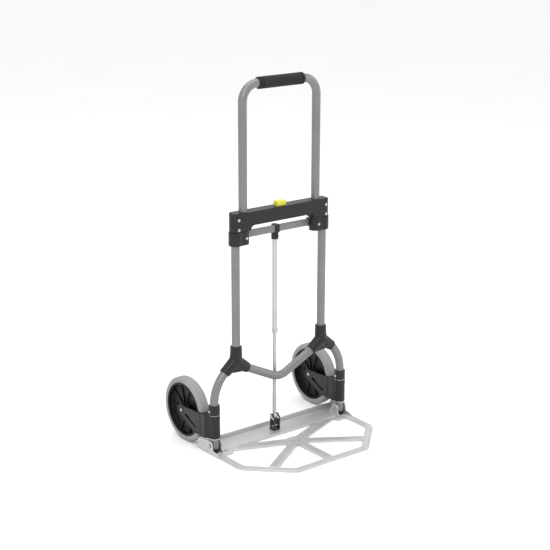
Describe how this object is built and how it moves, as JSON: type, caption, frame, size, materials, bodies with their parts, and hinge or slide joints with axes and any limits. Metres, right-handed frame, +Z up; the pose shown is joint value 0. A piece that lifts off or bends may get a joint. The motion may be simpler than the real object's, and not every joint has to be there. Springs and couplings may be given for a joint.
{
  "type": "hand truck",
  "caption": "Folding hand truck with a sliding loop handle, spoked aluminium toe plate and wheels that swing in behind the plate as it folds up.",
  "frame": {"origin": "on the floor under the middle of the outline, with the handle up and the toe plate down", "axes": "+X to the right seen from the front, -Y to the front edge of the toe plate, +Z up along the uprights"},
  "size_m": [0.545, 0.498, 1.1055],
  "materials": {
    "frame_tube": "satin anodised grey tube",
    "handle_tube": "satin anodised grey tube",
    "black_plastic": "fine-grained black moulding",
    "fastener_steel": "zinc-plated steel",
    "button_plastic": "smooth yellow moulding",
    "grip_rubber": "dark foam rubber",
    "crossbar_paint": "grey rectangular tube",
    "rod_chrome": "bright polished rod",
    "cast_aluminium": "pale as-cast aluminium",
    "clevis_steel": "dark coated steel",
    "cam_metal": "dull die-cast metal",
    "rim_plastic": "black ribbed moulding",
    "tyre_rubber": "light grey non-marking rubber",
    "bush_plastic": "plain bearing plastic"
  },
  "bodies": {
    "frame": {"upright_left": "frame_tube", "upright_right": "frame_tube", "leg_left": "frame_tube", "leg_right": "frame_tube", "v_brace": "frame_tube", "corner_joint_left": "black_plastic", "corner_joint_right": "black_plastic", "upper_bar": "black_plastic", "lock_cover": "black_plastic", "cover_screws": "fastener_steel", "frame_rivets": "fastener_steel", "leg_end_caps": "black_plastic", "leg_collars": "black_plastic", "collar_bolts": "fastener_steel", "collar_washers": "fastener_steel", "hinge_bolts": "fastener_steel", "button_spring": "fastener_steel"},
    "handle": {"handle_loop": "handle_tube", "handle_grip": "grip_rubber", "slider_left": "black_plastic", "slider_right": "black_plastic", "slider_screws": "fastener_steel", "crossbar": "crossbar_paint", "rod_clip": "black_plastic", "clip_bolt": "clevis_steel", "rod_outer": "rod_chrome", "rod_collar": "fastener_steel"},
    "rod": {"rod_inner": "rod_chrome", "rod_pin": "fastener_steel"},
    "plate": {"toe_plate": "cast_aluminium", "clevis_bracket": "clevis_steel", "clevis_bolts": "fastener_steel"},
    "fork_left": {"wheel_bracket_left": "black_plastic", "fold_cam_left": "cam_metal", "axle_left": "fastener_steel", "axle_washers_left": "fastener_steel"},
    "fork_right": {"wheel_bracket_right": "black_plastic", "fold_cam_right": "cam_metal", "axle_right": "fastener_steel", "axle_washers_right": "fastener_steel"},
    "wheel_left": {"wheel_rim_left": "rim_plastic", "tyre_left": "tyre_rubber", "wheel_bushes_left": "bush_plastic"},
    "wheel_right": {"wheel_rim_right": "rim_plastic", "tyre_right": "tyre_rubber", "wheel_bushes_right": "bush_plastic"},
    "button": {"release_button": "button_plastic"},
    "lock_left": {"lock_bar_left": "fastener_steel"},
    "lock_right": {"lock_bar_right": "fastener_steel"}
  },
  "joints": [
    {"name": "handle_slide", "type": "slide", "parent": "frame", "child": "handle", "axis": [0, 0, -1], "range_m": [0, 0.255]},
    {"name": "plate_fold", "type": "hinge", "parent": "frame", "child": "plate", "pos_m": [0, 0.014, 0.027], "axis": [-1, 0, 0], "range_deg": [0, 90]},
    {"name": "wheel_fold_left", "type": "hinge", "parent": "frame", "child": "fork_left", "pos_m": [-0.243, 0.014, 0.027], "axis": [0, 0, -1], "range_deg": [0, 90]},
    {"name": "wheel_fold_right", "type": "hinge", "parent": "frame", "child": "fork_right", "pos_m": [0.243, 0.014, 0.027], "axis": [0, 0, 1], "range_deg": [0, 90]},
    {"name": "rod_follow", "type": "slide", "parent": "frame", "child": "rod", "axis": [0, 0, -1], "range_m": [0, 0.0461]},
    {"name": "wheel_spin_left", "type": "hinge", "parent": "fork_left", "child": "wheel_left", "pos_m": [-0.247, 0.149, 0.1], "axis": [1, 0, 0], "continuous": true},
    {"name": "wheel_spin_right", "type": "hinge", "parent": "fork_right", "child": "wheel_right", "pos_m": [0.247, 0.149, 0.1], "axis": [1, 0, 0], "continuous": true},
    {"name": "button_press", "type": "slide", "parent": "frame", "child": "button", "axis": [0, 0, -1], "range_m": [0, 0.004], "stiffness_N_per_m": 1500, "springref_m": -0.002, "deforming": ["button_spring"]},
    {"name": "lock_draw_left", "type": "slide", "parent": "frame", "child": "lock_left", "axis": [1, 0, 0], "range_m": [0, 0.004]},
    {"name": "lock_draw_right", "type": "slide", "parent": "frame", "child": "lock_right", "axis": [-1, 0, 0], "range_m": [0, 0.004]}
  ],
  "couplings": [
    {"joint": "wheel_fold_left", "follows": "plate_fold", "ratio": 1},
    {"joint": "wheel_fold_right", "follows": "plate_fold", "ratio": 1},
    {"joint": "rod_follow", "follows": "plate_fold", "m_per_rad": 0.029285},
    {"joint": "lock_draw_left", "follows": "button_press", "ratio": 1},
    {"joint": "lock_draw_right", "follows": "button_press", "ratio": 1}
  ]
}
